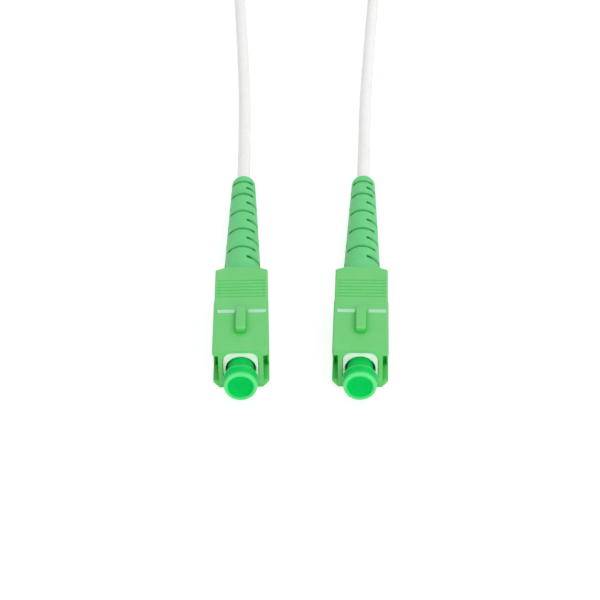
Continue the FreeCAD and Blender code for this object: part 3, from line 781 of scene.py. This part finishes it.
# The fourth colour of the ceramic, the yarn, the tube and the buffer is painted shade in their
# narrow places
ferrule_ceramic = moulded_plastic(
    "ground_zirconia", "#F1EEE6", "#ECE8DF", "#D8D2C4", roughness=0.14, grain_depth=0.0005,
    ior=2.1)
collar_metal = machined_metal("nickel_plated_brass", "#C9C4B8", 0.24, 0.3)
spring_steel = machined_metal("drawn_spring_steel", "#B9BCC0", 0.3, 0.15)
stop_metal = machined_metal("turned_zinc_alloy", "#AEB1B5", 0.36, 0.25)
crimp_metal = machined_metal("pressed_tinned_copper", "#C4C6C9", 0.3, 0.4)
yarn_fibre = moulded_plastic(
    "bundled_aramid_yarn", "#E7CF6A", "#D6B94C", "#A98A2A", roughness=0.7, grain_depth=0.03,
    flow_size=0.8, grain_size=0.12)
guide_clear = moulded_plastic(
    "extruded_clear_ptfe", "#E9EEF0", "#E2E8EC", "#C9D2D8", roughness=0.3, grain_depth=0.001,
    ior=1.36, scattering=0.4)
buffer_coat = moulded_plastic(
    "tight_buffered_fibre", "#E8E4DA", "#DED9CC", "#C6BFAE", roughness=0.4, grain_depth=0.001)

# %% Give the kept nodes their finishes
finishes = {"index_marks": mark_plastic, "ferrule": ferrule_ceramic,
            "ferrule_collar": collar_metal, "spring": spring_steel, "stop_ring": stop_metal,
            "aramid_yarn": yarn_fibre, "crimp_ring": crimp_metal, "guide_tube": guide_clear,
            "fibre": buffer_coat, "cable_end": jacket}
for part_name, material in finishes.items():
    for side in SIDES:
        for slot in frame["nodes"][part_name + "_" + side].material_slots:
            slot.material = material
print("kept nodes", len(SIDES) * len(finishes))

# %% [markdown]
# ## The studio: floor and world
#
# The photograph is a catalogue shot: pure white all round and soft light from everywhere, with
# the faintest shadow. The world gives most of that light. The white around the object is only
# for the camera and for reflections and see-through parts: it comes from the colour of the
# floor and the world, and so adds no light to the object.

# %% Floor and world
FLOOR_SIZE = 3.0
# What the paper gives off to the camera: with the light on it this makes white, less any shadow
PAPER_GLOW = 0.78
WORLD_LIGHT = 0.59


def seen_directly(material):
    """1 for rays from the camera, mirrors and clear parts, and 0 for rays that carry light."""
    rays = add_node(material, "LightPath").outputs
    first = add_node(material, "Math", {"operation": "MAXIMUM"}, {
        0: rays["Is Camera Ray"], 1: rays["Is Glossy Ray"]})
    return add_node(material, "Math", {"operation": "MAXIMUM"}, {
        0: first.outputs[0], 1: rays["Is Transmission Ray"]}).outputs[0]


def white_floor():
    """Pale matte paper. Seen directly it also glows, so that only the object's shadow shows."""
    material = new_material("matte_white_paper")
    place = add_node(material, "TexCoord").outputs["Object"]
    tooth = add_node(material, "TexNoise", inputs={"Vector": place, "Scale": 1 / (2.0 * MM)})
    surface = add_node(material, "Bump", inputs={
        "Height": tooth.outputs["Fac"], "Strength": 0.1, "Distance": 0.02 * MM})
    paper = add_node(material, "BsdfDiffuse", inputs={
        "Color": linear("#E8E8E8"), "Normal": surface.outputs["Normal"]})
    shadow_catcher = add_node(material, "BsdfDiffuse", inputs={"Color": linear("#A4A4A4")})
    glow = add_node(material, "Emission", inputs={
        "Color": linear("#FFFFFF"), "Strength": PAPER_GLOW})
    bright = add_node(material, "AddShader", inputs={
        0: shadow_catcher.outputs[0], 1: glow.outputs[0]})
    return end_in(material, add_node(material, "MixShader", inputs={
        0: seen_directly(material), 1: paper.outputs[0], 2: bright.outputs[0]}))


floor_mesh = bpy.data.meshes.new("floor")
floor_corners = FLOOR_SIZE / 2 * np.array([(-1, -1, 0), (1, -1, 0), (1, 1, 0), (-1, 1, 0)])
floor_mesh.from_pydata(floor_corners.tolist(), [], [(0, 1, 2, 3)])
floor_mesh.materials.append(white_floor())
floor = bpy.data.objects.new("floor", floor_mesh)
bpy.context.collection.objects.link(floor)

world = bpy.data.worlds.new("white_studio")
world.use_nodes = True
world.node_tree.nodes.clear()
sky = add_node(world, "Background", inputs={"Color": linear("#FFFFFF"), "Strength": WORLD_LIGHT})
card = add_node(world, "Background", inputs={"Color": linear("#FFFFFF"), "Strength": 1.0})
both = add_node(world, "MixShader", inputs={
    0: seen_directly(world), 1: sky.outputs[0], 2: card.outputs[0]})
add_node(world, "OutputWorld", inputs={"Surface": both.outputs[0]})
bpy.context.scene.world = world
print("floor in m", FLOOR_SIZE, "world light", WORLD_LIGHT)

# %% [markdown]
# ## The studio: lamps
#
# A large panel above, behind and to the right gives the shapes their form, and one low in front
# fills the faces that look forward. Each is given as a share of the light on a level surface.
# Those shares and the world's sum to nearly 1, so a level surface renders at its own colour.

# %% Lamps
# The room's origin lies between the two plugs, just behind their grips
PLUGS = np.zeros(3)


def add_panel(name, azimuth, elevation, distance, size, share):
    """A square soft light aimed at the plugs. share is how much of a level white surface's
    brightness it gives: power = share * pi^2 * distance^2 / sin(elevation)."""
    lamp = bpy.data.objects.new(name, bpy.data.lights.new(name, "AREA"))
    bpy.context.collection.objects.link(lamp)
    lamp.matrix_world = aimed(PLUGS, distance, azimuth, elevation)
    lamp.data.size = size
    lamp.data.energy = share * math.pi ** 2 * distance ** 2 / math.sin(math.radians(elevation))
    print(name, "power in W", round(lamp.data.energy, 2))


add_panel("panel_above_right", azimuth=125, elevation=56, distance=0.9, size=0.7, share=0.2)
add_panel("panel_front", azimuth=10, elevation=24, distance=0.9, size=0.6, share=0.18)
bpy.context.scene.view_settings.view_transform = "Standard"
